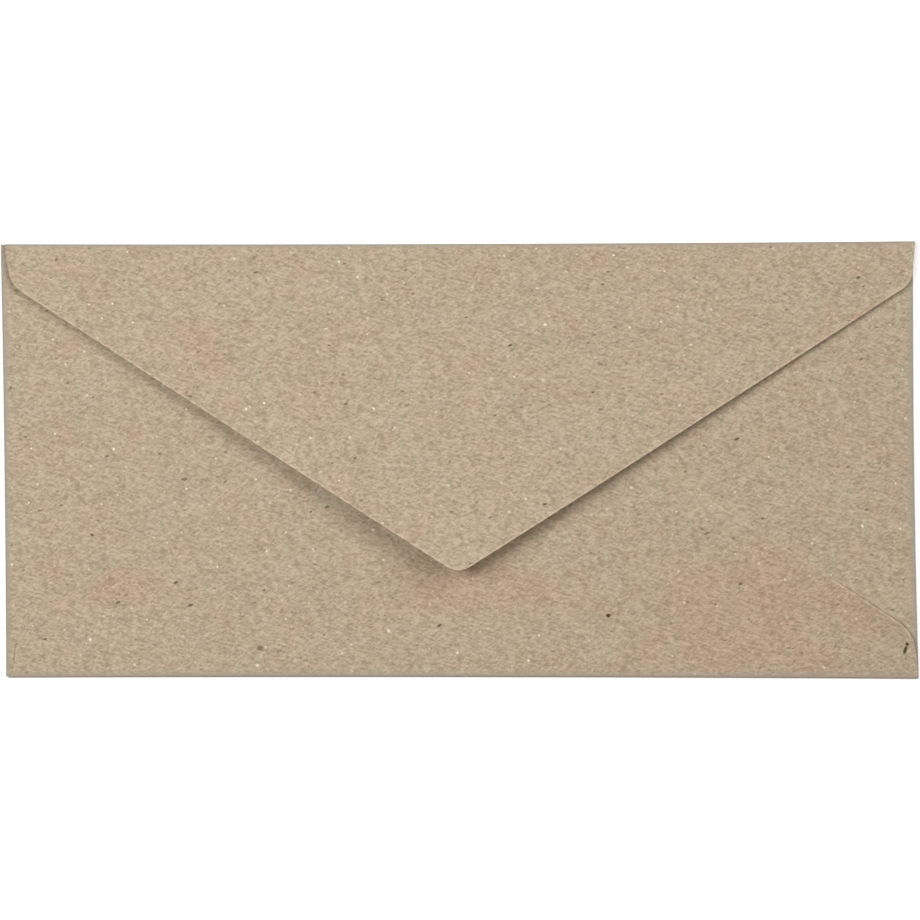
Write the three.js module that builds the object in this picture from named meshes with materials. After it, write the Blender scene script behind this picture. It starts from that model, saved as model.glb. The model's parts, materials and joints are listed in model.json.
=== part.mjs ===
// A long commercial envelope of recycled kraft paper: one die-cut sheet, folded on four sides and
// glued along two slanting seams, with a pointed seal flap that carries a band of dried gum.
//
// Lengths are in millimetres and angles in degrees. The envelope lies on its address side: X runs
// along it, Y runs up to the fold of the seal flap, and Z runs up through the layers of paper. The
// origin is under the middle of the address panel, on the surface that the envelope lies on.

import * as THREE from "three";

// Overall size, from outside of fold to outside of fold
const envelopeLength = 230;
const envelopeHeight = 110;

// Thicknesses and gaps, from the address panel up
const paperThickness = 0.2;
const pocketDepth = 0.7;
const glueThickness = 0.1;
const gumThickness = 0.1;
const workingGap = 0.3;

// The two pointed flaps. The reach runs from the outside of the fold to the point, and the shoulder
// depth to the corners where the two straight edges to the point begin, all before rounding.
const sealFlap = { reach: 84.3, shoulderDepth: 10.6, tipRadius: 5.2 };
const bottomFlap = { reach: 85.7, shoulderDepth: 11.8, tipRadius: 8 };

// Where a pointed flap leaves its fold: how far it starts in from the side of the envelope, how
// much its short edge leans in, and the radius that leads over to the straight edge
const shoulderInset = 0.2;
const shoulderLeanAngle = 7.5;
const shoulderRadius = 7;

// Side flaps, with the ends of their folds in from the top and bottom of the envelope
const sideFlapTopInset = 1.2;
const sideFlapBottomInset = 0.8;
const sideFlapReach = 88;
const sideFlapTopAngle = 13;
const sideFlapRadius = 9;
const seamOverlap = 12;

// Seam glue, along the straight edges of the bottom flap
const glueInset = 1.5;
const glueWidth = 5;
const glueOuterEnd = 14;
const glueInnerEnd = 80;

// Seal gum, along the straight edges of the seal flap
const gumInset = 2;
const gumWidth = 12;
const gumEnd = 22;

// How far the seal flap stands open as the envelope lies there
const restingLift = 4.5;

const arcSteps = 12;

// Levels of the layers
const sideFlapLevel = paperThickness + pocketDepth;
const glueLevel = sideFlapLevel + paperThickness;
const bottomFlapLevel = glueLevel + glueThickness;
const closedGumLevel = bottomFlapLevel + paperThickness + workingGap;
const closedFlapLevel = closedGumLevel + gumThickness + workingGap;

// Each fold is half a round tube that joins the address panel to the flap at the given level
function foldTo(flapLevel) {
  const innerRadius = (flapLevel - paperThickness) / 2;
  return { innerRadius, outerRadius: innerRadius + paperThickness };
}

const sideFold = foldTo(sideFlapLevel);
const bottomFold = foldTo(bottomFlapLevel);
const topFold = foldTo(closedFlapLevel);

// Axes of the folds, which are also the edges of the flat address panel
const sideFoldX = envelopeLength / 2 - sideFold.outerRadius;
const bottomFoldY = -envelopeHeight / 2 + bottomFold.outerRadius;
const topFoldY = envelopeHeight / 2 - topFold.outerRadius;

const radians = THREE.MathUtils.degToRad;
const tangent = (degrees) => Math.tan(radians(degrees));

function kraftPaper() {
  return new THREE.MeshStandardMaterial({ color: 0xbaa68d, roughness: 0.9, metalness: 0 });
}

function driedGlue() {
  return new THREE.MeshStandardMaterial({ color: 0xcdbb9c, roughness: 0.6, metalness: 0 });
}

function driedGum() {
  return new THREE.MeshStandardMaterial({ color: 0xb79f7d, roughness: 0.3, metalness: 0 });
}

// A closed outline through the corners [x, y, radius], each rounded by its radius
function roundedOutline(corners) {
  const points = corners.flatMap(([x, y, radius = 0], i) => {
    const corner = new THREE.Vector2(x, y);
    if (radius === 0) return [corner];
    const toBefore = new THREE.Vector2(...corners.at(i - 1)).sub(corner).normalize();
    const toAfter = new THREE.Vector2(...corners[(i + 1) % corners.length]).sub(corner).normalize();
    const halfAngle = Math.acos(toBefore.dot(toAfter)) / 2;
    const setback = radius / Math.tan(halfAngle);
    const inward = toBefore.clone().add(toAfter).normalize();
    const centre = corner.clone().addScaledVector(inward, radius / Math.sin(halfAngle));
    const start = corner.clone().addScaledVector(toBefore, setback).sub(centre);
    const end = corner.clone().addScaledVector(toAfter, setback).sub(centre);
    const clockwise = start.cross(end) < 0;
    const angles = [start.angle(), end.angle()];
    return new THREE.EllipseCurve(...centre, radius, radius, ...angles, clockwise).getPoints(arcSteps);
  });
  return new THREE.Shape(points);
}

// A flat layer with the given corners, from its underside up
function layer(name, corners, thickness, level, material) {
  const outline = roundedOutline(corners);
  const geometry = new THREE.ExtrudeGeometry(outline, { depth: thickness, bevelEnabled: false });
  const mesh = new THREE.Mesh(geometry, material);
  mesh.name = name;
  mesh.position.z = level;
  return mesh;
}

// Half a tube of folded paper, or a little less, from under its axis round to the given angle. Its
// section lies along the outward and upward directions, and it runs on to either side of the middle.
function foldedPaper(name, fold, endAngle, runLength, outward) {
  const from = radians(-90);
  const to = radians(endAngle);
  const section = new THREE.Shape();
  section.absarc(0, 0, fold.outerRadius, from, to, false);
  section.absarc(0, 0, fold.innerRadius, to, from, true);
  section.closePath();
  const geometry = new THREE.ExtrudeGeometry(section, {
    depth: runLength,
    bevelEnabled: false,
    curveSegments: arcSteps,
  });
  geometry.translate(0, 0, -runLength / 2);
  const mesh = new THREE.Mesh(geometry, kraftPaper());
  mesh.name = name;
  const up = new THREE.Vector3(0, 0, 1);
  const along = outward.clone().cross(up);
  mesh.setRotationFromMatrix(new THREE.Matrix4().makeBasis(outward, up, along));
  mesh.position.z = fold.outerRadius;
  return mesh;
}

// Half the width of a pointed flap's short edges, at a depth from the outside of its fold
function halfRootWidth(depth) {
  return envelopeLength / 2 - shoulderInset - depth * tangent(shoulderLeanAngle);
}

// Depth from the outside of the fold to a pointed flap's straight edge, or to a line inside it
function edgeDepth(flap, x, inset = 0) {
  const slope = (flap.reach - flap.shoulderDepth) / halfRootWidth(flap.shoulderDepth);
  return flap.reach - Math.abs(x) * slope - inset * Math.hypot(1, slope);
}

// Corners of a pointed flap as [x, depth, radius], from the depth at which it leaves its fold
function pointedFlapCorners(flap, rootDepth) {
  const rootX = halfRootWidth(rootDepth);
  const shoulderX = halfRootWidth(flap.shoulderDepth);
  return [
    [-rootX, rootDepth],
    [-shoulderX, flap.shoulderDepth, shoulderRadius],
    [0, flap.reach, flap.tipRadius],
    [shoulderX, flap.shoulderDepth, shoulderRadius],
    [rootX, rootDepth],
  ];
}

// Corners given by depth from the outside of the bottom fold, placed on the envelope
const fromBottom = (corners) => corners.map(([x, depth, r]) => [x, depth - envelopeHeight / 2, r]);

// Corners given by depth from the outside of the top fold, placed in front of that fold's axis
const fromTopAxis = (corners) => corners.map(([x, depth, r]) => [x, topFold.outerRadius - depth, r]);

function addressPanel() {
  const corners = [
    [-sideFoldX, bottomFoldY],
    [sideFoldX, bottomFoldY],
    [sideFoldX, topFoldY],
    [-sideFoldX, topFoldY],
  ];
  return layer("address_panel", corners, paperThickness, 0, kraftPaper());
}

// One side flap with its fold and its strip of glue. Its upper edge slopes down from the top, and its
// lower edge runs under the bottom flap, where the glue holds the two together.
function sideFlap(sideName, side) {
  const sideX = (fromSide) => side * (envelopeLength / 2 - fromSide);
  const rootX = side * sideFoldX;
  const rootTop = envelopeHeight / 2 - sideFlapTopInset;
  const rootBottom = -envelopeHeight / 2 + sideFlapBottomInset;
  const endX = sideX(sideFlapReach);
  const endTop = rootTop - sideFlapReach * tangent(sideFlapTopAngle);
  const endBottom = edgeDepth(bottomFlap, endX, seamOverlap) - envelopeHeight / 2;
  const corners = [
    [rootX, rootTop],
    [rootX, rootBottom],
    [endX, endBottom, sideFlapRadius],
    [endX, endTop, sideFlapRadius],
  ];
  const flap = layer(`${sideName}_side_flap`, corners, paperThickness, sideFlapLevel, kraftPaper());

  const outward = new THREE.Vector3(side, 0, 0);
  const fold = foldedPaper(`${sideName}_fold`, sideFold, 90, rootTop - rootBottom, outward);
  fold.position.x = rootX;
  fold.position.y = (rootTop + rootBottom) / 2;

  const parts = new THREE.Group();
  parts.add(flap, fold, seamGlue(sideName, sideX(glueOuterEnd), sideX(glueInnerEnd)));
  return parts;
}

// The strip of glue between a side flap and the bottom flap, from one end to the other
function seamGlue(sideName, outerX, innerX) {
  const far = glueInset + glueWidth;
  const corners = [
    [outerX, edgeDepth(bottomFlap, outerX, glueInset)],
    [innerX, edgeDepth(bottomFlap, innerX, glueInset)],
    [innerX, edgeDepth(bottomFlap, innerX, far)],
    [outerX, edgeDepth(bottomFlap, outerX, far)],
  ];
  const placed = fromBottom(corners);
  return layer(`${sideName}_seam_glue`, placed, glueThickness, glueLevel, driedGlue());
}

// The bottom flap with its fold. It lies over both side flaps and closes the pocket.
function bottomFlapWithFold() {
  const rootDepth = bottomFold.outerRadius;
  const corners = fromBottom(pointedFlapCorners(bottomFlap, rootDepth));
  const flap = layer("bottom_flap", corners, paperThickness, bottomFlapLevel, kraftPaper());

  const outward = new THREE.Vector3(0, -1, 0);
  const fold = foldedPaper("bottom_fold", bottomFold, 90, 2 * halfRootWidth(rootDepth), outward);
  fold.position.y = bottomFoldY;

  const parts = new THREE.Group();
  parts.add(flap, fold);
  return parts;
}

// The fold that the seal flap turns on, bent as far round as the flap's lift leaves it
function topFoldAtRest() {
  const runLength = 2 * halfRootWidth(topFold.outerRadius);
  const outward = new THREE.Vector3(0, 1, 0);
  const fold = foldedPaper("top_fold", topFold, 90 - restingLift, runLength, outward);
  fold.position.y = topFoldY;
  return fold;
}

// The band of gum on the inner face of the seal flap, in the shape of a V
function sealGum() {
  const endX = envelopeLength / 2 - gumEnd;
  const far = gumInset + gumWidth;
  const corners = [
    [-endX, edgeDepth(sealFlap, endX, gumInset)],
    [0, edgeDepth(sealFlap, 0, gumInset), sealFlap.tipRadius],
    [endX, edgeDepth(sealFlap, endX, gumInset)],
    [endX, edgeDepth(sealFlap, endX, far)],
    [0, edgeDepth(sealFlap, 0, far)],
    [-endX, edgeDepth(sealFlap, endX, far)],
  ];
  const level = topFold.innerRadius - workingGap - gumThickness;
  return layer("seal_gum", fromTopAxis(corners), gumThickness, level, driedGum());
}

// The seal flap and its gum, turned open about the axis of the top fold
function sealFlapWithGum() {
  const corners = fromTopAxis(pointedFlapCorners(sealFlap, topFold.outerRadius + workingGap));
  const flap = layer("seal_flap", corners, paperThickness, topFold.innerRadius, kraftPaper());

  const hinge = new THREE.Group();
  hinge.position.set(0, topFoldY, topFold.outerRadius);
  hinge.rotation.x = -radians(restingLift);
  hinge.add(flap, sealGum());
  return hinge;
}

const envelope = new THREE.Group();
envelope.add(
  addressPanel(),
  sideFlap("left", -1),
  sideFlap("right", 1),
  bottomFlapWithFold(),
  topFoldAtRest(),
  sealFlapWithGum(),
);

export default envelope;
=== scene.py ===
import json
import math

import bmesh
import bpy
import numpy as np
from mathutils import Matrix, Vector


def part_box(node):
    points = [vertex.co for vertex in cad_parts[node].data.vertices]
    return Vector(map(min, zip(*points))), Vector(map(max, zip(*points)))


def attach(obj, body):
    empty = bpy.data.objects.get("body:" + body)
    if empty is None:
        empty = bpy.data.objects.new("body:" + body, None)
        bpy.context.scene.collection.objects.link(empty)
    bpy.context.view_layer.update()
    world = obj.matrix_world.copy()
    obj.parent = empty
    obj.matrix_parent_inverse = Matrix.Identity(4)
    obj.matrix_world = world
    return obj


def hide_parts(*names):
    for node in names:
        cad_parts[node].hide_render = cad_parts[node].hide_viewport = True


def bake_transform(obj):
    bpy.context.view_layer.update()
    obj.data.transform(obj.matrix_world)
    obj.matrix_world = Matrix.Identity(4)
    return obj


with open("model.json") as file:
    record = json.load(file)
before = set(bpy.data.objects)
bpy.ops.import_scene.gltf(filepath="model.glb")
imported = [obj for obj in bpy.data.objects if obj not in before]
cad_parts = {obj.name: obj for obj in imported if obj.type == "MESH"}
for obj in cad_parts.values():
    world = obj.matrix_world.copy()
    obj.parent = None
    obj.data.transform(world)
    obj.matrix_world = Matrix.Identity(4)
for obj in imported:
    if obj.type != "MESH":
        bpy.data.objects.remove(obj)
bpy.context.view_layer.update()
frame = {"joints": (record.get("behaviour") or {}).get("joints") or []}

mm = 0.001  # shapes are worked out in millimetres and become metres when a mesh is made
hinge = frame["joints"][0]
restingLift = -hinge["range_deg"][0]  # degrees that the seal flap stands open at rest


def nodeBox(name):
    low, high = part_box(name)
    return np.array(low) / mm, np.array(high) / mm


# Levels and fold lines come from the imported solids
panelLow, panelHigh = nodeBox("address_panel")
_, sideFoldHigh = nodeBox("right_fold")
bottomFoldLow, _ = nodeBox("bottom_fold")
_, topFoldHigh = nodeBox("top_fold")
glueLow, glueHigh = nodeBox("right_seam_glue")
halfLength, halfHeight = sideFoldHigh[0], topFoldHigh[1]

paper = {
    "thickness": panelHigh[2] - panelLow[2],
    "meshStep": 2.6,  # spacing of the mesh on flat paper
    "edgeSteps": (0.3, 1.0),  # closer rows along a cut edge
    "nearFold": (0, 0.3, 0.7, 1.3),  # rows past a fold, where its strip of painted shade fades out
    "foldSteps": 14,  # rows round a fold
    "arcSteps": 10,  # points round a rounded corner
    "weld": 0.002,  # points of two grids that lie this close are one point
    "farFromEdge": 9.0,  # stands for a place with no cut edge nearby
}

# Added to the place on the unfolded sheet, in metres, so that the two faces differ in their pattern
innerFace = 0.05

# Cockling: paper that has taken up moisture waves gently, but never at its folds
cockle = {
    "height": 0.34,
    "fadeIn": 26,
    # Length, heading in degrees, phase in radians and share of each wave
    "waves": ((74, 24, 0.4, 0.45), (47, 118, 2.1, 0.30), (31, 71, 4.4, 0.25)),
    "flapShare": 0.5,  # the seal flap waves less, from further down, and in other places
    "flapFadeIn": (4, 34),
    "flapShift": (31, -12),
}

# How far the hand that folded it was out of square, and how the paper lies
folding = {
    "pocketSkew": 0.0118,  # the pocket leans by this much for each millimetre of height
    "cornerFlare": {"left": 0.25, "right": 0.48},  # the corners stand out beyond the sides
    "bottomFlapShift": 1.55,
    "lateSlide": 2,  # on the left, its slide goes on for this long after the fold
    "sealFlapShift": (0.25, 0.75),  # at its fold, and from the shoulders on
    "sealSpread": (0.28, 55),  # the seal flap is wider to each side, down to this depth
    "foldBow": 0.3,  # the top and bottom folds curve in towards the middle of the envelope
    "creaseShadeReach": (0.2, 2.2),  # the strip of painted shade reaches this far from the crown of a fold
    "backLevels": (0.3, 0.8),  # height over which the front of the pocket turns into its back
    "backSag": 0.28,  # the back lies closer to the front between the folds
    "sideRoll": (0.16, 1.6),  # the back drops by this much towards a fold, over this distance
}

# The free corners of the bottom flap stand off the side folds a little
shoulderCurl = {
    "x": 103,
    "y": -41,
    "size": 15,
    "depth": 5,  # the lift fades out this far from the cut edge
    "fadeIn": 5,  # and begins at the bottom fold, over this distance
    "right": 1.9,
    "left": 0.12,
}

# The seal flap was pressed down near its fold, and its point curls up
sealCurl = {
    "rise": 3.5,
    "power": 4.6,  # the higher, the more of the curl is in the point
    "press": 0.32,
    "pressFrom": (8, 26),  # from the fold on, the hollow begins over this distance
    "pressTo": (30, 66),  # and ends over this one
}

# Fuzz of pale fibres along the cut edges, partly a painted highlight on them: its strength at the two ends of
# a row, on the pointed flaps from left to right
edgeFuzzAndHighlight = {
    "side": (0.6, 0.6),
    "bottom": (0.35, 0.55),
    "seal": (0.65, 0.65),
    "turn": 20,  # it changes from one to the other over this far to each side of the middle
    "fadeIn": 12,  # and begins at a fold, over this distance
}


def smooth(low, high, value):
    t = np.clip((value - low) / (high - low), 0, 1)
    return t * t * (3 - 2 * t)


def waves(x, y):
    total = np.zeros_like(x, float)
    for length, heading, phase, share in cockle["waves"]:
        along = x * math.cos(math.radians(heading)) + y * math.sin(math.radians(heading))
        total += share * np.sin(2 * math.pi * along / length + phase)
    return total


# Points along a chain of corners (x, y, radius), with each rounded corner as an arc
def roundedPath(corners):
    points = []
    for i, corner in enumerate(corners):
        here = np.array(corner[:2], float)
        radius = corner[2] if len(corner) > 2 else 0
        if not radius:
            points.append(here)
            continue
        before = np.array(corners[i - 1][:2], float) - here
        after = np.array(corners[i + 1][:2], float) - here
        before /= np.linalg.norm(before)
        after /= np.linalg.norm(after)
        halfAngle = math.acos(before @ after) / 2
        inward = (before + after) / np.linalg.norm(before + after)
        centre = here + inward * radius / math.sin(halfAngle)
        start = here + before * radius / math.tan(halfAngle) - centre
        turn = math.pi - 2 * halfAngle
        if before[0] * after[1] - before[1] * after[0] > 0:
            turn = -turn
        for k in range(paper["arcSteps"] + 1):
            a = turn * k / paper["arcSteps"]
            c, s = math.cos(a), math.sin(a)
            points.append(centre + (start[0] * c - start[1] * s, start[0] * s + start[1] * c))
    return np.array(points)


# Adds values between those given, so that no two lie further apart than the step
def fillGaps(values, step):
    values = sorted(set(np.round(values, 6)))
    filled = []
    for low, high in zip(values, values[1:]):
        parts = max(1, math.ceil((high - low) / step - 1e-6))
        filled += [low + (high - low) * k / parts for k in range(parts)]
    return np.array(filled + [values[-1]])


# Places across a row from one cut edge to the other, closer together at both ends
def rowPlaces(low, high, count):
    near, far = (s * min(1, (high - low) / (4 * paper["edgeSteps"][1])) for s in paper["edgeSteps"])
    inner = np.linspace(low + far, high - far, count)
    return np.concatenate([[low, low + near], inner, [high - near, high]])


def distanceToPath(points, path):
    best = np.full(len(points), np.inf)
    for a, b in zip(path, path[1:]):
        d = b - a
        t = np.clip((points - a) @ d / max(d @ d, 1e-12), 0, 1)
        best = np.minimum(best, np.linalg.norm(points - a - t[:, None] * d, axis=1))
    return best


# Section through a fold: outward and upward places at a developed distance from the flat panel,
# and at a height over the middle of the paper, towards the outside of the envelope
def foldSection(fold, s, height=0):
    end = math.radians(fold["endAngle"])
    angle = np.where(s < fold["arc"], s / fold["radius"] - math.pi / 2, end)
    past = np.maximum(s - fold["arc"], 0)
    out = (fold["radius"] + height) * np.cos(angle) - past * math.sin(end)
    up = (fold["radius"] + height) * np.sin(angle) + past * math.cos(end)
    return out, up + fold["outerRadius"]


def makeFold(outerRadius, endAngle):
    radius = outerRadius - paper["thickness"] / 2
    arc = radius * math.radians(endAngle + 90)
    return {"radius": radius, "outerRadius": outerRadius, "endAngle": endAngle, "arc": arc}


sideFold = makeFold(sideFoldHigh[0] - panelHigh[0], 90)
bottomFold = makeFold(panelLow[1] - bottomFoldLow[1], 90)
topFold = makeFold(topFoldHigh[1] - panelHigh[1], 90 - restingLift)

# The outlines of the two pointed flaps, in millimetres from the outside of their folds
pointedFlaps = {
    "seal": {"reach": 84.3, "shoulderDepth": 10.6, "shoulderRadius": 7, "tipRadius": 5.2},
    "bottom": {"reach": 85.7, "shoulderDepth": 11.8, "shoulderRadius": 10, "tipRadius": 8},
    "shoulderInset": 0.2,
    "shoulderLean": math.tan(math.radians(7.5)),
}


def halfRootWidth(depth):
    return halfLength - pointedFlaps["shoulderInset"] - depth * pointedFlaps["shoulderLean"]


def flapSlope(flap):
    return (flap["reach"] - flap["shoulderDepth"]) / halfRootWidth(flap["shoulderDepth"])


# Right-hand cut edge of a pointed flap as (half width, developed distance), from fold to tip
def pointedEdge(name, fold, widest):
    flap = pointedFlaps[name]
    root = min(halfRootWidth(fold["outerRadius"]), widest)
    toDeveloped = fold["arc"] - fold["outerRadius"]
    shoulder = halfRootWidth(flap["shoulderDepth"]), flap["shoulderDepth"] + toDeveloped
    corners = [
        (root, fold["arc"]),
        (*shoulder, flap["shoulderRadius"]),
        (0, flap["reach"] + toDeveloped, flap["tipRadius"]),
        (-shoulder[0], shoulder[1]),
    ]
    path = roundedPath(corners)
    path = path[path[:, 0] > -1e-6]
    return np.vstack([[root, 0], path])


# Side flaps: the ends of their folds, and the shape of what the bottom flap hides
sideFlap = {
    "ends": {"left": (-54.65, 54.95), "right": (panelLow[1], panelHigh[1])},
    "reach": 88,
    "topSlope": math.tan(math.radians(13)),
    "radius": 9,
    "overlap": 12,
}


# Lower and upper cut edges of a side flap as (place along the fold, developed distance)
def sideFlapEdges(side):
    reach = sideFlap["reach"]
    rootBottom, rootTop = sideFlap["ends"][side]
    endTop = rootTop - reach * sideFlap["topSlope"]
    bottom = pointedFlaps["bottom"]
    slope = flapSlope(bottom)
    hidden = sideFlap["overlap"] * math.hypot(1, slope)
    endBottom = bottomFoldLow[1] + bottom["reach"] - (halfLength - reach) * slope - hidden
    end = reach + sideFold["arc"] - sideFold["outerRadius"]
    edges = []
    for root, near, far in ((rootBottom, endBottom, endTop), (rootTop, endTop, endBottom)):
        path = roundedPath([(root, sideFold["arc"]), (near, end, sideFlap["radius"]), (far, end)])
        edges.append(np.vstack([[root, 0], path[:-1]]))
    return edges


# A grid of points on the middle of the paper. Each row lies at one developed distance from the
# flat panel, and runs from one cut edge to the other.
def flapGrid(edges, fold, spread, place, blank, flip, fuzzAndHighlightEnds):
    lowEdge, highEdge = edges
    distances = np.concatenate([lowEdge[:, 1], highEdge[:, 1]])
    foldRows = fold["arc"] * np.arange(paper["foldSteps"] + 1) / paper["foldSteps"]
    nearFold = fold["arc"] + np.array(paper["nearFold"])
    flat = fillGaps([*distances[distances >= fold["arc"] - 1e-6], *nearFold], paper["meshStep"])
    rows = np.concatenate([foldRows[:-1], flat])
    outline = np.vstack([lowEdge, highEdge[::-1]])
    lowFuzzAndHighlight, highFuzzAndHighlight = fuzzAndHighlightEnds
    points, blanks, values = [], [], []
    for s in rows:
        low, high = (np.interp(s, edge[:, 1], edge[:, 0]) for edge in edges)
        across = spread(low, high)
        distance = np.full(len(across), s)
        points.append(place(across, *foldSection(fold, distance)))
        blanks.append(blank(across, distance))
        toEdge = distanceToPath(np.stack([across, distance], 1), outline)
        toFold = np.maximum(distance - fold["arc"], 0)
        toCrown = abs(distance - fold["arc"] / 2)
        strength = lowFuzzAndHighlight + (highFuzzAndHighlight - lowFuzzAndHighlight) * smooth(-edgeFuzzAndHighlight["turn"], edgeFuzzAndHighlight["turn"], across)
        values.append(np.stack([toEdge, toCrown, strength * smooth(0, edgeFuzzAndHighlight["fadeIn"], toFold)], 1))
    return {"shape": (len(rows), len(points[0])), "points": np.vstack(points), "flip": flip,
            "blank": np.vstack(blanks), "values": np.vstack(values)}


columnsAlong = int(2 * panelHigh[0] / paper["meshStep"])
columnsUp = int((panelHigh[1] - panelLow[1]) / paper["meshStep"])


def pointedGrid(name, fold, foldLine, direction, flip, widest):
    edge = pointedEdge(name, fold, widest)
    return flapGrid(
        (edge * (-1, 1), edge), fold,
        lambda low, high: rowPlaces(low, high, columnsAlong),
        lambda across, out, up: np.stack([across, foldLine + direction * out, up], 1),
        lambda across, s: np.stack([across, foldLine + direction * s], 1),
        flip, edgeFuzzAndHighlight[name],
    )


def sideGrid(side):
    outward = 1 if side == "right" else -1
    rootLow, rootHigh = sideFlap["ends"][side]
    column = np.union1d(rowPlaces(panelLow[1], panelHigh[1], columnsUp), [rootLow, rootHigh])
    shares = (column - rootLow) / (rootHigh - rootLow)
    return flapGrid(
        sideFlapEdges(side), sideFold,
        lambda low, high: low + shares * (high - low),
        lambda across, out, up: np.stack([outward * (panelHigh[0] + out), across, up], 1),
        lambda across, s: np.stack([outward * (panelHigh[0] + s), across], 1),
        outward < 0, edgeFuzzAndHighlight["side"],
    )


def panelGrid():
    xs = rowPlaces(panelLow[0], panelHigh[0], columnsAlong)
    ys = rowPlaces(panelLow[1], panelHigh[1], columnsUp)
    gx, gy = np.meshgrid(xs, ys)
    flat = np.stack([gx.ravel(), gy.ravel()], 1)
    level = np.full(len(flat), panelLow[2] + paper["thickness"] / 2)
    toFold = np.minimum(panelHigh[0] - abs(flat[:, 0]), panelHigh[1] - abs(flat[:, 1]))
    toCrown = np.maximum(toFold, 0) + sideFold["arc"] / 2
    values = np.stack([np.full(len(flat), paper["farFromEdge"]), toCrown, np.zeros(len(flat))], 1)
    return {"shape": gx.shape, "points": np.column_stack([flat, level]), "flip": True, "blank": flat,
            "values": values}


# How far a point moves in as the top and bottom folds curve
def bowed(x, y):
    return folding["foldBow"] * (1 - (x / halfLength) ** 2) * y / halfHeight


# Out-of-square folding and cockling of the pocket, by the place on the unfolded sheet
def settlePocket(points, blank, toEdge):
    x, y, z = points.T.copy()
    lean = x - folding["pocketSkew"] * y
    flare = np.where(x > 0, folding["cornerFlare"]["right"], folding["cornerFlare"]["left"])
    lean += x / halfLength * flare * (y / halfHeight) ** 2
    # The bottom flap slides across as it folds over, on the left a little later than on the right
    late = smooth(-halfLength, halfLength, -x)
    half = bottomFold["arc"] / 2
    pastFold = smooth(late * half, half + late * (half + folding["lateSlide"]), panelLow[1] - blank[:, 1])
    shifted = x + folding["bottomFlapShift"]
    x = lean + (shifted - lean) * pastFold

    toFold = np.minimum(panelHigh[0] - abs(points[:, 0]), panelHigh[1] - abs(y))
    inPanel = smooth(0, cockle["fadeIn"], toFold)
    back = smooth(*folding["backLevels"], z)
    drop, reach = folding["sideRoll"]
    z += inPanel * cockle["height"] * (0.5 + 0.5 * waves(x, y))
    z -= back * (inPanel * folding["backSag"] + drop * np.exp(-np.maximum(toFold, 0) / reach))
    for side, curl in ((1, shoulderCurl["right"]), (-1, shoulderCurl["left"])):
        fromCorner = np.hypot(points[:, 0] - side * shoulderCurl["x"], y - shoulderCurl["y"])
        lift = curl * np.exp(-((fromCorner / shoulderCurl["size"]) ** 2) - toEdge / shoulderCurl["depth"])
        z += lift * pastFold * smooth(0, shoulderCurl["fadeIn"], y - panelLow[1])
    return np.stack([x, y - bowed(x, y), z], 1)


def settleSealFlap(points, blank, toEdge):
    x, y, z = points.T.copy()
    past = np.maximum(blank[:, 1] - panelHigh[1] - topFold["arc"], 0)
    atFold, atShoulder = folding["sealFlapShift"]
    toShoulder = smooth(0, pointedFlaps["seal"]["shoulderDepth"], past)
    x += atFold + (atShoulder - atFold) * toShoulder
    spread, depth = folding["sealSpread"]
    x += spread * points[:, 0] / halfLength * (1 - smooth(0, depth, past))
    y -= bowed(x, y)
    reach, power = pointedFlaps["seal"]["reach"], sealCurl["power"]
    rise = sealCurl["rise"] * (past / reach) ** power
    # A sheet that curls up keeps its length, so its point draws back
    back = (sealCurl["rise"] * power) ** 2 / (reach * (4 * power - 2)) * (past / reach) ** (2 * power - 1)
    pressed = smooth(*sealCurl["pressFrom"], past) * (1 - smooth(*sealCurl["pressTo"], past))
    shiftX, shiftY = cockle["flapShift"]
    waving = smooth(*cockle["flapFadeIn"], past) * cockle["height"] * waves(x + shiftX, y + shiftY)
    rise += waving * cockle["flapShare"] - sealCurl["press"] * pressed
    lift = math.radians(restingLift)
    return np.stack([x, y + back + rise * math.sin(lift), z + rise * math.cos(lift)], 1)


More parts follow.
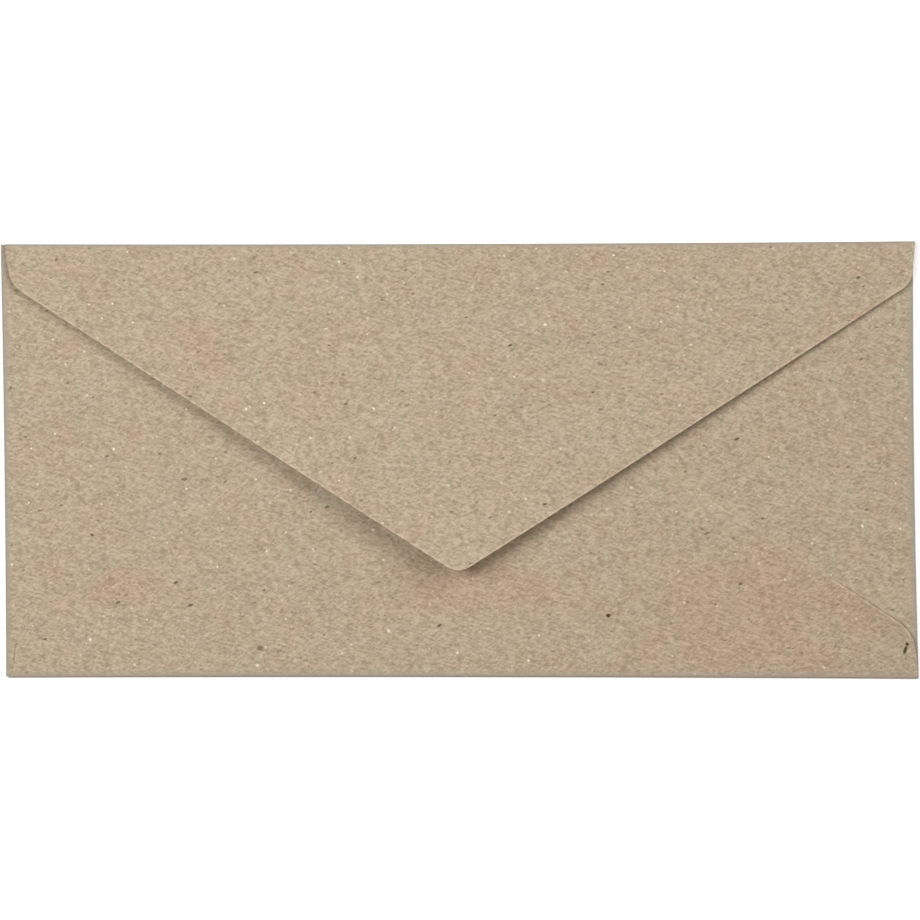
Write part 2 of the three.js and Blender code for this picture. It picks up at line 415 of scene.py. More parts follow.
# Welds grids into one sheet on the middle of the paper, and gives it two faces and a cut edge
def makeSheet(name, grids, settle, materials):
    middle = bmesh.new()
    keys = ("u", "v", "edge", "crease", "edgeFuzzAndHighlight")
    layers = {key: middle.verts.layers.float.new(key) for key in keys}
    for grid in grids:
        moved = settle(grid["points"], grid["blank"], grid["values"][:, 0]) * mm
        toEdge, toCrown, strength = grid["values"].T
        # painted shade along a fold, strongest at its crown
        crease = 1 - smooth(*folding["creaseShadeReach"], toCrown)
        verts = []
        for p, row in zip(moved, np.column_stack([grid["blank"], toEdge, crease, strength])):
            vert = middle.verts.new(p)
            for key, value in zip(keys, row):
                vert[layers[key]] = value
            verts.append(vert)
        rows, columns = grid["shape"]
        for r in range(rows - 1):
            for c in range(columns - 1):
                i = r * columns + c
                ring = [verts[i], verts[i + 1], verts[i + columns + 1], verts[i + columns]]
                middle.faces.new(ring[::-1] if grid["flip"] else ring)
    bmesh.ops.remove_doubles(middle, verts=middle.verts, dist=paper["weld"] * mm)
    middle.normal_update()
    middle.verts.index_update()
    count = len(middle.verts)
    half = paper["thickness"] / 2 * mm
    outer = [v.co + v.normal * half for v in middle.verts]
    inner = [v.co - v.normal * half for v in middle.verts]
    faces = [[v.index for v in f.verts] for f in middle.faces]
    skins = faces + [[i + count for i in f[::-1]] for f in faces]
    rim = []
    for loop in (l for f in middle.faces for l in f.loops if len(l.edge.link_faces) == 1):
        a, b = loop.vert.index, loop.link_loop_next.vert.index
        rim.append([b, a, a + count, b + count])
    mesh = bpy.data.meshes.new(name)
    mesh.from_pydata([tuple(p) for p in outer + inner], [], skins + rim)
    slots = [0] * len(faces) + [1] * len(faces) + [2] * len(rim)
    mesh.polygons.foreach_set("material_index", slots)
    mesh.polygons.foreach_set("use_smooth", [True] * len(skins) + [False] * len(rim))
    for key in ("edge", "crease", "edgeFuzzAndHighlight"):
        values = [v[layers[key]] for v in middle.verts]
        mesh.attributes.new(key, "FLOAT", "POINT").data.foreach_set("value", values * 2)
    # Where the point lies on the unfolded sheet, in metres, with the face of the paper as its height
    flat = []
    for face in (0, 1):
        for v in middle.verts:
            flat += (v[layers["u"]] * mm, v[layers["v"]] * mm, face * innerFace)
    mesh.attributes.new("blank", "FLOAT_VECTOR", "POINT").data.foreach_set("vector", flat)
    middle.free()
    for material in materials:
        mesh.materials.append(material)
    mesh.validate()
    piece = bpy.data.objects.new(name, mesh)
    bpy.context.scene.collection.objects.link(piece)
    return piece


# Adds a node with its settings, and sets or links its inputs
def addNode(tree, kind, inputs=None, **settings):
    node = tree.nodes.new(kind)
    for key, value in settings.items():
        setattr(node, key, value)
    for key, value in (inputs or {}).items():
        socket = node.inputs[key]
        if isinstance(value, bpy.types.NodeSocket):
            tree.links.new(value, socket)
        else:
            socket.default_value = value
    return node


def colour(code):
    parts = [int(code[i:i + 2], 16) / 255 for i in (1, 3, 5)]
    linear = [c / 12.92 if c <= 0.04045 else ((c + 0.055) / 1.055) ** 2.4 for c in parts]
    return (*linear, 1)


def calculate(tree, operation, a, b):
    return addNode(tree, "ShaderNodeMath", {0: a, 1: b}, operation=operation).outputs[0]


def mapRange(tree, value, fromLow, fromHigh, toLow, toHigh, smoothly=False):
    return addNode(tree, "ShaderNodeMapRange", {
        "Value": value, "From Min": fromLow, "From Max": fromHigh, "To Min": toLow, "To Max": toHigh,
    }, interpolation_type="SMOOTHSTEP" if smoothly else "LINEAR").outputs[0]


def mixColours(tree, amount, a, b, way="MIX"):
    colourInputs = {0: amount, 6: a, 7: b}
    return addNode(tree, "ShaderNodeMix", colourInputs, data_type="RGBA", blend_type=way).outputs[2]


def startMaterial(name):
    material = bpy.data.materials.new(name)
    material.use_nodes = True
    return material, material.node_tree, material.node_tree.nodes["Principled BSDF"]


# A shallow relief, its depth in millimetres
def addRelief(tree, shader, height, strength, depth):
    bump = addNode(tree, "ShaderNodeBump", {"Height": height, "Strength": strength, "Distance": depth * mm})
    tree.links.new(bump.outputs[0], shader.inputs["Normal"])


# Stretches and turns a pattern, sized in millimetres and degrees
def turned(tree, place, length, width, heading):
    return addNode(tree, "ShaderNodeMapping", {
        "Vector": place,
        "Rotation": (0, 0, math.radians(heading)),
        "Scale": (length, width, width),
    }, vector_type="TEXTURE").outputs[0]


# A noise whose grains have the given length, width and heading
def grain(tree, place, length, width, heading, detail=2.0):
    noise = addNode(tree, "ShaderNodeTexNoise", {
        "Vector": turned(tree, place, length, width, heading),
        "Scale": 1.0,
        "Detail": detail,
        "Roughness": 0.55,
    })
    return noise.outputs["Fac"]


speckRange = {"smallest": 0.45, "faintest": 0.3, "softEdge": 0.4}  # as shares of the largest and strongest


# Specks scattered one to a cell, in a share of the cells, each with its own size and strength
def specks(tree, place, cell, share, radius, stretch, heading):
    cells = addNode(tree, "ShaderNodeTexVoronoi", {
        "Vector": turned(tree, place, cell * stretch, cell, heading), "Scale": 1.0, "Randomness": 1.0,
    }, voronoi_dimensions="2D")
    pick = addNode(tree, "ShaderNodeSeparateColor", {"Color": cells.outputs["Color"]})
    chosen = calculate(tree, "LESS_THAN", pick.outputs[0], share)
    size = mapRange(tree, pick.outputs[1], 0, 1, radius * speckRange["smallest"] / cell, radius / cell)
    inside = calculate(tree, "SUBTRACT", size, cells.outputs["Distance"])
    shape = mapRange(tree, inside, 0, speckRange["softEdge"] * radius / cell, 0, 1, True)
    faintness = mapRange(tree, pick.outputs[2], 0, 1, speckRange["faintest"], 1)
    strength = calculate(tree, "MULTIPLY", faintness, chosen)
    return calculate(tree, "MULTIPLY", shape, strength)


# How far hairs are stretched along their heading, and the grain of the gaps that break them up
hairShape = {"stretch": 1.6, "gapLength": 2.1, "gapWidth": 1.5, "gapTurn": 50, "gapEdge": 0.08}


# Hair-thin fibres: the contour lines of a noise, broken up by a second one
def hairs(tree, place, bend, width, heading, share):
    bends = grain(tree, place, bend * hairShape["stretch"], bend, heading, 1.0)
    level = calculate(tree, "SUBTRACT", bends, 0.5)
    line = mapRange(tree, calculate(tree, "ABSOLUTE", level, 0), 0, width / bend, 1, 0, True)
    gapHeading = heading + hairShape["gapTurn"]
    broken = grain(tree, place, hairShape["gapLength"], hairShape["gapWidth"], gapHeading, 1.0)
    shown = mapRange(tree, broken, 1 - share, 1 - share + hairShape["gapEdge"], 0, 1)
    return calculate(tree, "MULTIPLY", line, shown)


# One oval spot at a place on the sheet, solid inside a share of its radius and faded out a tenth
# past it
def spot(tree, place, u, v, length, width, heading, strength, solid):
    near = addNode(tree, "ShaderNodeMapping", {
        "Vector": place,
        "Location": (u, v, 0),
        "Rotation": (0, 0, math.radians(heading)),
        "Scale": (length / 2, width / 2, 1),
    }, vector_type="TEXTURE").outputs[0]
    away = addNode(tree, "ShaderNodeVectorMath", {0: near}, operation="LENGTH").outputs["Value"]
    return mapRange(tree, away, solid, 1.1, strength, 0, True)


# Recycled kraft paper: unbleached pulp with short fibres laid mostly along the machine direction,
# dark specks of bark and old print, and pale specks of bleached paper
kraft = {
    "body": "#C3B29B",
    "fibreDark": "#9A8972",
    "fibreLight": "#DDCDB6",
    "speckDark": "#4A3A2A",
    "speckPale": "#F6ECD8",
    "cutEdge": "#EBDAC0",
    # painted shade: greyer and darker, along the crown of each fold
    "foldShade": "#AFA89B",
    "pinkWash": "#FFF9F8",  # the washes multiply the colour under them
    "greenWash": "#FCFFFD",
    "patchWash": "#FFF1EF",
}

# Length and width in millimetres and heading in degrees of each layer of the pattern. The fibres are
# drawn about twice as thick as real ones, because those are finer than the picture shows.
fibres = {
    "along": (1.85, 0.6, 16),
    "across": (1.35, 0.55, -36),
    "pulp": (0.66, 0.56, 0),
    "mottle": (2.6, 2.0, 8),
    "clouds": (9, 6.5, 10),
    "blotches": (8, 6, 25),
}

# How the layers add up to the tone of the paper
layering = {
    "shares": {"along": 0.44, "across": 0.38, "pulp": 0.14, "mottle": 0.26, "clouds": 0.12},
    "toneRange": (0.565, 0.775),  # sums that give the dark and the light colour of the fibres
    "bodyShare": 0.43,
    "tints": ((16, 13, 35, 0.72), (6, 5, -20, 0.28)),  # length, width, heading and share
    "tintRange": (0.36, 0.64),
    "blotchRange": (0.54, 0.7),
    "blotchStrength": 0.34,
    "mottleRelief": 0.3,
    "stray": 1.2,  # millimetres that the fibres wander off their heading, more or less
}

# Bend, width, heading, share that shows, strength and colour of the hairs
hairLayers = (
    (5.5, 0.2, 15, 0.44, 0.25, "fibreDark"),
    (4.2, 0.2, 105, 0.42, 0.3, "fibreLight"),
)

# Cell, share of the cells, largest radius, stretch, heading, strength and colour of the specks
speckLayers = (
    (1.7, 0.4, 0.27, 1.5, 18, 0.4, "speckDark"),
    (3.7, 0.4, 0.36, 1.9, -12, 0.62, "speckDark"),
    (8.5, 0.24, 0.42, 2.2, 160, 0.9, "speckDark"),
    (2.6, 0.38, 0.32, 1.4, 70, 0.5, "speckPale"),
    (5.6, 0.46, 0.4, 1.3, 40, 1.0, "speckPale"),
)

# Splinters of bark that are large enough to be seen one by one, and wide patches with more coloured
# waste in the pulp: the place on the unfolded sheet, then length, width, heading and strength
slivers = (
    (111.6, -64.3, 1.2, 0.9, 20, 1.0),
    (111.1, -62.8, 2.7, 1.05, 108, 0.95),
    (36.6, -71.2, 1.35, 1.15, 0, 1.0),
    (-51.4, -62.9, 2.1, 1.4, 10, 0.6),
    (12.8, 81.9, 1.3, 0.6, -20, 0.9),
    (-67.8, 94.8, 1.2, 0.8, 15, 0.6),
    (-137.5, -18.8, 1.2, 0.8, 30, 0.8),
)
sliverCore = 0.5  # the share of the radius that is solid
pinkPatches = (
    (78, -72, 120, 50, -8, 0.62),
    (2, -78, 66, 24, 5, 0.5),
    (-86, -78, 34, 16, 10, 0.45),
    (-63, 82, 26, 13, 25, 0.5),
    (-98, -12, 24, 44, 10, 0.4),
)
patchCore = 0.1


def inMillimetres(tree, vector):
    return addNode(tree, "ShaderNodeVectorMath", {0: vector, "Scale": 1 / mm}, operation="SCALE").outputs[0]


# Place on the unfolded sheet, in millimetres
def placeOnSheet(tree):
    return inMillimetres(tree, addNode(tree, "ShaderNodeAttribute", attribute_name="blank").outputs["Vector"])


def covered(tree, body, mask, strength, shade):
    return mixColours(tree, calculate(tree, "MULTIPLY", mask, strength), body, colour(kraft[shade]))


# Colour and relief of the bare paper by its place on the unfolded sheet
def paperTone(tree):
    place = placeOnSheet(tree)
    drift = addNode(tree, "ShaderNodeTexNoise", {
        "Vector": place, "Scale": 0.35, "Detail": 3.5, "Roughness": 0.62})
    wander = addNode(tree, "ShaderNodeVectorMath", {
        0: drift.outputs["Color"], 1: (0.5, 0.5, 0.5)}, operation="SUBTRACT")
    stray = (layering["stray"], layering["stray"], 0)
    strayed = addNode(tree, "ShaderNodeVectorMath", {
        0: wander.outputs[0], 1: stray, 2: place}, operation="MULTIPLY_ADD").outputs[0]

    layers = {name: grain(tree, strayed, *fibres[name]) for name in layering["shares"]}
    parts = {name: calculate(tree, "MULTIPLY", layers[name], share)
             for name, share in layering["shares"].items()}
    relief = calculate(tree, "ADD", calculate(tree, "ADD", parts["along"], parts["across"]), parts["pulp"])
    total = calculate(tree, "ADD", relief, calculate(tree, "ADD", parts["mottle"], parts["clouds"]))
    tone = mapRange(tree, total, *layering["toneRange"], 0, 1)
    body = mixColours(tree, tone, colour(kraft["fibreDark"]), colour(kraft["fibreLight"]))
    body = mixColours(tree, layering["bodyShare"], body, colour(kraft["body"]))
    tint = 0.0
    for length, width, heading, share in layering["tints"]:
        clouded = grain(tree, place, length, width, heading)
        tint = calculate(tree, "ADD", mapRange(tree, clouded, *layering["tintRange"], 0, share), tint)
    wash = mixColours(tree, tint, colour(kraft["pinkWash"]), colour(kraft["greenWash"]))
    body = mixColours(tree, 1.0, body, wash, "MULTIPLY")
    patchWash = colour(kraft["patchWash"])
    blotches = grain(tree, place, *fibres["blotches"])
    blotch = mapRange(tree, blotches, *layering["blotchRange"], 0, layering["blotchStrength"], True)
    body = mixColours(tree, blotch, body, patchWash, "MULTIPLY")
    for patch in pinkPatches:
        body = mixColours(tree, spot(tree, place, *patch, patchCore), body, patchWash, "MULTIPLY")

    for bend, width, heading, share, strength, shade in hairLayers:
        mask = hairs(tree, strayed, bend, width, heading, share)
        body = covered(tree, body, mask, strength, shade)
    for cell, share, radius, stretch, heading, strength, shade in speckLayers:
        mask = specks(tree, strayed, cell, share, radius, stretch, heading)
        body = covered(tree, body, mask, strength, shade)
    for sliver in slivers:
        body = mixColours(tree, spot(tree, place, *sliver, sliverCore), body, colour(kraft["speckDark"]))
    mottleRelief = calculate(tree, "MULTIPLY", layers["mottle"], layering["mottleRelief"])
    return body, calculate(tree, "ADD", relief, mottleRelief)


# Painted shade greys and darkens the paper along the crown of each fold, and the knife pulls up pale fibres
# at every edge, with a painted highlight along them
foldShadeAndCutEdges = {
    # strength of the painted shade at the crown of a fold
    "crease": 0.88,
    "cutEdge": 0.6,
    "fuzzAndHighlightReach": 0.7,  # millimetres from the cut edge
    "fuzzGrain": (1.9, 1.3, 0),  # length, width and heading of its tufts
    "fuzzRange": (0.38, 0.6),
    "leastFuzzAndHighlight": 0.1,
}


# The sheet's faces and its cut edges. Uncoated, pressed dry on a felt: dead matt, with faint fuzzy fibre
# ends, so that it keeps one tone from every side.
def kraftPaper(name, cutEdge=False):
    material, tree, shader = startMaterial(name)
    body, relief = paperTone(tree)
    # painted shade: the crown of every fold is greyed and darkened
    crease = addNode(tree, "ShaderNodeAttribute", attribute_name="crease").outputs["Fac"]
    body = covered(tree, body, crease, foldShadeAndCutEdges["crease"], "foldShade")
    if cutEdge:
        pale = foldShadeAndCutEdges["cutEdge"]
    else:
        # A pale strip along the cut edge: partly fibre fuzz, partly a painted highlight
        edge = addNode(tree, "ShaderNodeAttribute", attribute_name="edge").outputs["Fac"]
        strength = addNode(tree, "ShaderNodeAttribute", attribute_name="edgeFuzzAndHighlight").outputs["Fac"]
        tufts = grain(tree, placeOnSheet(tree), *foldShadeAndCutEdges["fuzzGrain"])
        ragged = mapRange(tree, tufts, *foldShadeAndCutEdges["fuzzRange"], foldShadeAndCutEdges["leastFuzzAndHighlight"], 1)
        pale = calculate(tree, "MULTIPLY", mapRange(tree, edge, 0, foldShadeAndCutEdges["fuzzAndHighlightReach"], 1, 0, True), strength)
        pale = calculate(tree, "MULTIPLY", pale, ragged)
    body = mixColours(tree, pale, body, colour(kraft["cutEdge"]))
    tree.links.new(body, shader.inputs["Base Color"])
    addRelief(tree, shader, relief, strength=0.7, depth=0.07)
    shader.inputs["Roughness"].default_value = 0.88
    shader.inputs["Specular IOR Level"].default_value = 0.28
    shader.inputs["IOR"].default_value = 1.47
    shader.inputs["Sheen Weight"].default_value = 0.06
    shader.inputs["Sheen Roughness"].default_value = 0.6
    return material


# Dextrin gum, rolled on wet and dried: a thin amber film that the paper shows through, with a low
# shine and faint streaks along the roller's path
gumFilm = {
    "dark": "#A2834F",
    "light": "#BE9F6C",
    "cover": 0.55,  # the rest is the paper under it
    "streaks": (26, 0.9, 0),  # length, width and heading
    "colourRange": (0.38, 0.62),
    "shineRange": (0.35, 0.65),
    "roughness": (0.2, 0.36),
    "paperRelief": 0.35,
}


def dextrinGum():
    material, tree, shader = startMaterial("dried_dextrin_gum")
    body, relief = paperTone(tree)
    streaks = grain(tree, placeOnSheet(tree), *gumFilm["streaks"])
    tone = mapRange(tree, streaks, *gumFilm["colourRange"], 0, 1)
    film = mixColours(tree, tone, colour(gumFilm["dark"]), colour(gumFilm["light"]))
    tree.links.new(mixColours(tree, gumFilm["cover"], body, film), shader.inputs["Base Color"])
    shine = mapRange(tree, streaks, *gumFilm["shineRange"], *gumFilm["roughness"])
    tree.links.new(shine, shader.inputs["Roughness"])
    height = calculate(tree, "ADD", calculate(tree, "MULTIPLY", relief, gumFilm["paperRelief"]), streaks)
    addRelief(tree, shader, height, strength=0.5, depth=0.05)
    shader.inputs["IOR"].default_value = 1.5
    return material


# Starch paste between two layers of paper: cloudy and pale, dried half matt
pasteClouds = {"dark": "#C4AF8C", "light": "#DCCBAC", "grain": (3.4, 2.2, 30), "range": (0.35, 0.65)}


def starchPaste():
    material, tree, shader = startMaterial("dried_starch_paste")
    place = addNode(tree, "ShaderNodeTexCoord").outputs["Object"]
    cloud = grain(tree, inMillimetres(tree, place), *pasteClouds["grain"], detail=3.0)
    share = mapRange(tree, cloud, *pasteClouds["range"], 0, 1)
    tone = mixColours(tree, share, colour(pasteClouds["dark"]), colour(pasteClouds["light"]))
    tree.links.new(tone, shader.inputs["Base Color"])
    addRelief(tree, shader, cloud, strength=0.5, depth=0.04)
    shader.inputs["Roughness"].default_value = 0.5
    shader.inputs["IOR"].default_value = 1.5
    return material


paperFaces = [
    kraftPaper("kraft_paper_outer_face"),
    kraftPaper("kraft_paper_inner_face"),
    kraftPaper("kraft_paper_cut_edge", cutEdge=True),
]
print("materials made")

pocket = makeSheet("pocket_sheet", [
    panelGrid(),
    sideGrid("right"),
    sideGrid("left"),
    pointedGrid("bottom", bottomFold, panelLow[1], -1, False, panelHigh[0]),
], settlePocket, paperFaces)
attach(pocket, "pocket")
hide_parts("address_panel", "left_fold", "right_fold", "left_side_flap", "right_side_flap",
            "bottom_fold", "bottom_flap")
print("pocket folded:", len(pocket.data.polygons), "faces")

sealFlap = makeSheet("seal_flap_sheet", [
    pointedGrid("seal", topFold, panelHigh[1], 1, True, halfLength),
], settleSealFlap, paperFaces)
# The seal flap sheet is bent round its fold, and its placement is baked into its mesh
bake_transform(sealFlap)
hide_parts("top_fold", "seal_flap")
print("seal flap folded:", len(sealFlap.data.polygons), "faces")


bandShape = {
    "step": 1.2,  # along the path
    "cornerRadius": 0.45,  # as a share of the thickness
    "cornerSteps": 2,
    "cuts": 4,  # points across the band, so that it follows paper that curls
    "wobbleScale": 0.16,
    "wobbleDetail": 3.0,
}


# Geometry Nodes: a flat band along a path, with rounded sides and a slightly uneven outline
def makeBandTree():
    tree = bpy.data.node_groups.new("band_along_path", "GeometryNodeTree")
    tree.interface.new_socket("Path", in_out="INPUT", socket_type="NodeSocketGeometry")
    for name, kind in (("Width", "Float"), ("Thickness", "Float"), ("Wobble", "Float"), ("Seed", "Int"),
                       ("Material", "Material")):
        tree.interface.new_socket(name, in_out="INPUT", socket_type="NodeSocket" + kind)
    tree.interface.new_socket("Band", in_out="OUTPUT", socket_type="NodeSocketGeometry")
    given = addNode(tree, "NodeGroupInput").outputs
    path = addNode(tree, "GeometryNodeResampleCurve", {
        "Curve": given["Path"], "Length": bandShape["step"]}, mode="LENGTH")
    path = addNode(tree, "GeometryNodeSetCurveNormal", {"Curve": path.outputs[0]}, mode="Z_UP")
    section = addNode(tree, "GeometryNodeCurvePrimitiveQuadrilateral", {
        "Width": given["Width"], "Height": given["Thickness"]}, mode="RECTANGLE")
    corner = calculate(tree, "MULTIPLY", given["Thickness"], bandShape["cornerRadius"])
    section = addNode(tree, "GeometryNodeFilletCurve", {
        "Curve": section.outputs[0], "Count": bandShape["cornerSteps"], "Radius": corner}, mode="POLY")
    section = addNode(tree, "GeometryNodeSubdivideCurve", {
        "Curve": section.outputs[0], "Cuts": bandShape["cuts"]})
    band = addNode(tree, "GeometryNodeCurveToMesh", {
        "Curve": path.outputs[0], "Profile Curve": section.outputs[0], "Fill Caps": True})
    place = addNode(tree, "GeometryNodeInputPosition").outputs[0]
    noise = addNode(tree, "ShaderNodeTexNoise", {
        "Vector": place,
        "W": given["Seed"],
        "Scale": bandShape["wobbleScale"],
        "Detail": bandShape["wobbleDetail"],
    }, noise_dimensions="4D")
    centred = addNode(tree, "ShaderNodeVectorMath", {
        0: noise.outputs["Color"], 1: (0.5, 0.5, 0.5)}, operation="SUBTRACT").outputs[0]
    reach = addNode(tree, "ShaderNodeCombineXYZ", {"X": given["Wobble"], "Y": given["Wobble"]}).outputs[0]
    offset = addNode(tree, "ShaderNodeVectorMath", {0: centred, 1: reach}, operation="MULTIPLY").outputs[0]
    moved = addNode(tree, "GeometryNodeSetPosition", {"Geometry": band.outputs[0], "Offset": offset})
    real = addNode(tree, "GeometryNodeRealizeInstances", {"Geometry": moved.outputs[0]})
    painted = addNode(tree, "GeometryNodeSetMaterial", {
        "Geometry": real.outputs[0], "Material": given["Material"]})
    addNode(tree, "NodeGroupOutput", {"Band": painted.outputs[0]})
    return tree


bandTree = makeBandTree()


# A band drawn on the unfolded sheet in millimetres, then laid on the inner face of the folded flap
def makeBand(name, path, sizes, material, fold, foldLine, settle):
    curve = bpy.data.curves.new(name + "_path", "CURVE")
    curve.dimensions = "3D"
    spline = curve.splines.new("POLY")
    spline.points.add(len(path) - 1)
    for point, (x, y) in zip(spline.points, path):
        point.co = (x, y, 0, 1)
    carrier = bpy.data.objects.new(name + "_path", curve)
    bpy.context.scene.collection.objects.link(carrier)
    modifier = carrier.modifiers.new("band", "NODES")
    modifier.node_group = bandTree
    sockets = {item.name: item.identifier for item in bandTree.interface.items_tree if item.in_out == "INPUT"}
    for key, value in {**sizes, "Material": material}.items():
        modifier[sockets[key]] = value
    evaluated = carrier.evaluated_get(bpy.context.evaluated_depsgraph_get())
    mesh = bpy.data.meshes.new_from_object(evaluated)
    bpy.data.objects.remove(carrier)

    flat = np.empty(len(mesh.vertices) * 3)
    mesh.vertices.foreach_get("co", flat)
    flat = flat.reshape(-1, 3)
    print(name, "lies flat in", np.round(np.ptp(flat, axis=0), 2), "mm")
    direction = 1 if foldLine > 0 else -1
    toMiddle = paper["thickness"] / 2 + sizes["Thickness"] / 2
    out, up = foldSection(fold, direction * (flat[:, 1] - foldLine), flat[:, 2] - toMiddle)
    folded = np.stack([flat[:, 0], foldLine + direction * out, up], 1)
    toEdge = np.full(len(flat), paper["farFromEdge"])
    placed = settle(folded, flat[:, :2], toEdge) * mm
    mesh.vertices.foreach_set("co", placed.ravel())
    attribute = mesh.attributes.new("blank", "FLOAT_VECTOR", "POINT")
    attribute.data.foreach_set("vector", (flat * (mm, mm, 0) + (0, 0, innerFace)).ravel())
    shell = bmesh.new()
    shell.from_mesh(mesh)
    bmesh.ops.recalc_face_normals(shell, faces=shell.faces)
    shell.to_mesh(mesh)
    shell.free()
    mesh.name = name
    piece = bpy.data.objects.new(name, mesh)
    bpy.context.scene.collection.objects.link(piece)
    return piece


# A point on a line inside a pointed flap's straight edge, on the unfolded sheet
def insideEdge(name, fold, foldLine, x, inset):
    flap = pointedFlaps[name]
    slope = flapSlope(flap)
    depth = flap["reach"] - abs(x) * slope - inset * math.hypot(1, slope)
    developed = depth + fold["arc"] - fold["outerRadius"]
    return x, foldLine + developed * (1 if foldLine > 0 else -1)


seamGlue = {
    "inset": 1.5,  # from the flap's cut edge
    "reach": (101, 35),  # its two ends, from the middle of the envelope
    "clearance": 0.02,
    "seeds": {"left": 3, "right": 4},
    "sizes": {"Width": 5.0, "Wobble": 1.1},
}
seamGlue["sizes"]["Thickness"] = glueHigh[2] - glueLow[2] - seamGlue["clearance"]
paste = starchPaste()
for name, side in (("left", -1), ("right", 1)):
    inset = seamGlue["inset"] + seamGlue["sizes"]["Width"] / 2
    ends = [insideEdge("bottom", bottomFold, panelLow[1], side * x, inset) for x in seamGlue["reach"]]
    sizes = {**seamGlue["sizes"], "Seed": seamGlue["seeds"][name]}
    strip = makeBand(name + "_glue_strip", ends, sizes, paste, bottomFold, panelLow[1], settlePocket)
    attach(strip, "pocket")
    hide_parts(name + "_seam_glue")

sealGum = {
    "inset": 2,  # from the flap's cut edge
    "reach": 93,  # its two ends, from the middle of the envelope
    "tipRadius": 11,
    "sizes": {"Width": 12.0, "Thickness": 0.06, "Wobble": 0.8, "Seed": 11},
}
inset = sealGum["inset"] + sealGum["sizes"]["Width"] / 2
places = (-sealGum["reach"], 0, sealGum["reach"])
leftEnd, tip, rightEnd = (insideEdge("seal", topFold, panelHigh[1], x, inset) for x in places)
gumPath = roundedPath([leftEnd, (*tip, sealGum["tipRadius"]), rightEnd])
gumBand = makeBand("seal_gum_band", gumPath, sealGum["sizes"], dextrinGum(),
                   topFold, panelHigh[1], settleSealFlap)
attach(gumBand, "flap")
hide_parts("seal_gum")
print("glue and gum laid")

# The camera stands straight above, a touch to the right, as the photograph's outline tells
view = {
    "scale": 0.2528,  # millimetres to a pixel of the photograph
    "size": 920,  # pixels across
    "centre": (457.15, 460.5),  # the pixel where the middle of the envelope lies
    "tilt": 2.3,  # degrees
    "roll": -0.054,
    "lens": 150,
    "sensor": 36,
}


def makeCamera():
    data = bpy.data.cameras.new("camera")
    data.lens = view["lens"]
    data.sensor_width = view["sensor"]
    data.clip_end = 10
    distance = view["size"] * view["scale"] * view["lens"] / data.sensor_width
    offset = [(view["size"] / 2 - view["centre"][0]) * view["scale"],
              (view["centre"][1] - view["size"] / 2) * view["scale"]]
    camera = bpy.data.objects.new("camera", data)
    bpy.context.scene.collection.objects.link(camera)
    tilt = math.radians(view["tilt"])
    turn = Matrix.Rotation(tilt, 4, "Y") @ Matrix.Rotation(math.radians(view["roll"]), 4, "Z")
    place = Vector((offset[0] + distance * math.sin(tilt), offset[1], distance * math.cos(tilt))) * mm
    camera.matrix_world = Matrix.Translation(place) @ turn
    bpy.context.scene.camera = camera


makeCamera()

# Two soft lamps, a near one at the left and a large far one at the right, in a dim room. Angles are
# in degrees and lengths in metres.
lamps = {
    "left": {"height": 67, "azimuth": 162, "distance": 0.78, "size": (0.2, 0.41), "power": 3.25},
    "right": {"height": 55, "azimuth": 28, "distance": 1.9, "size": (1.2, 0.95), "power": 17.1},
    "room": 0.085,
    "roomColour": "#FFD08C",
}


def makeLamp(name):
    lamp = lamps[name]
    data = bpy.data.lights.new(name + "_lamp", "AREA")
    data.shape = "RECTANGLE"
    data.size, data.size_y = lamp["size"]
    data.energy = lamp["power"]
    item = bpy.data.objects.new(name + "_lamp", data)
    bpy.context.scene.collection.objects.link(item)
    height, azimuth = math.radians(lamp["height"]), math.radians(lamp["azimuth"])
    across = Vector((math.cos(azimuth), math.sin(azimuth), 0)) * math.cos(height)
    place = (across + Vector((0, 0, math.sin(height)))) * lamp["distance"]
    item.location = place
    item.rotation_euler = (-place).to_track_quat("-Z", "Y").to_euler()


makeLamp("left")
makeLamp("right")


# One for rays from the camera, off shiny surfaces and through clear ones, otherwise none
def seenDirectly(tree):
    path = addNode(tree, "ShaderNodeLightPath")
    seen = calculate(tree, "MAXIMUM", path.outputs["Is Camera Ray"], path.outputs["Is Glossy Ray"])
    return calculate(tree, "MAXIMUM", seen, path.outputs["Is Transmission Ray"])


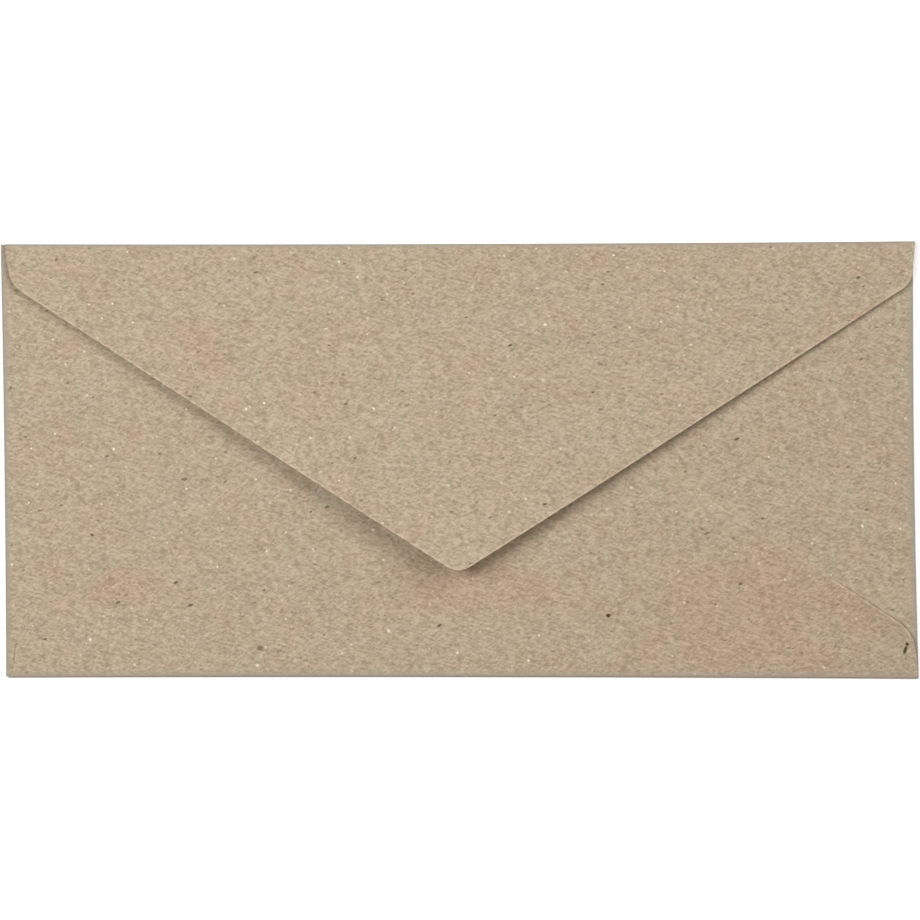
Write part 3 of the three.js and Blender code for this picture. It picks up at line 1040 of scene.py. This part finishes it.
# The room is white to the eye, but a dim and warm source of light
def makeRoom():
    world = bpy.data.worlds.new("room")
    bpy.context.scene.world = world
    world.use_nodes = True
    tree = world.node_tree
    background = tree.nodes["Background"]
    strength = mapRange(tree, seenDirectly(tree), 0, 1, lamps["room"], 1.0)
    tone = mixColours(tree, seenDirectly(tree), colour(lamps["roomColour"]), (1, 1, 1, 1))
    tree.links.new(tone, background.inputs["Color"])
    tree.links.new(strength, background.inputs["Strength"])


# White card, which takes shadows. To the eye it also glows, more so far away, so that it is white
# up to the horizon.
floorCard = {
    "reach": 3,  # lengths in metres
    "below": 0.00005,
    "colour": "#F4F4F4",
    "glow": (0.4, 1.0),
    "glowPlaces": (0.3, 1.1),
}


def makeFloor():
    mesh = bpy.data.meshes.new("floor")
    reach = floorCard["reach"]
    corners = [(-reach, -reach, 0), (reach, -reach, 0), (reach, reach, 0), (-reach, reach, 0)]
    mesh.from_pydata(corners, [], [(0, 1, 2, 3)])
    floor = bpy.data.objects.new("floor", mesh)
    bpy.context.scene.collection.objects.link(floor)
    material = bpy.data.materials.new("white_card")
    material.use_nodes = True
    tree = material.node_tree
    tree.nodes.remove(tree.nodes["Principled BSDF"])
    card = addNode(tree, "ShaderNodeBsdfDiffuse", {"Color": colour(floorCard["colour"])})
    place = addNode(tree, "ShaderNodeTexCoord").outputs["Object"]
    away = addNode(tree, "ShaderNodeVectorMath", {0: place}, operation="LENGTH").outputs["Value"]
    strength = mapRange(tree, away, *floorCard["glowPlaces"], *floorCard["glow"], True)
    glow = addNode(tree, "ShaderNodeEmission", {"Color": (1, 1, 1, 1), "Strength": strength})
    both = addNode(tree, "ShaderNodeAddShader", {0: card.outputs[0], 1: glow.outputs[0]})
    seen = seenDirectly(tree)
    mix = addNode(tree, "ShaderNodeMixShader", {0: seen, 1: card.outputs[0], 2: both.outputs[0]})
    tree.links.new(mix.outputs[0], tree.nodes["Material Output"].inputs["Surface"])
    mesh.materials.append(material)
    floor.location.z = -floorCard["below"]


makeRoom()
makeFloor()
bpy.context.scene.view_settings.view_transform = "Standard"
print("stage and lamps set")
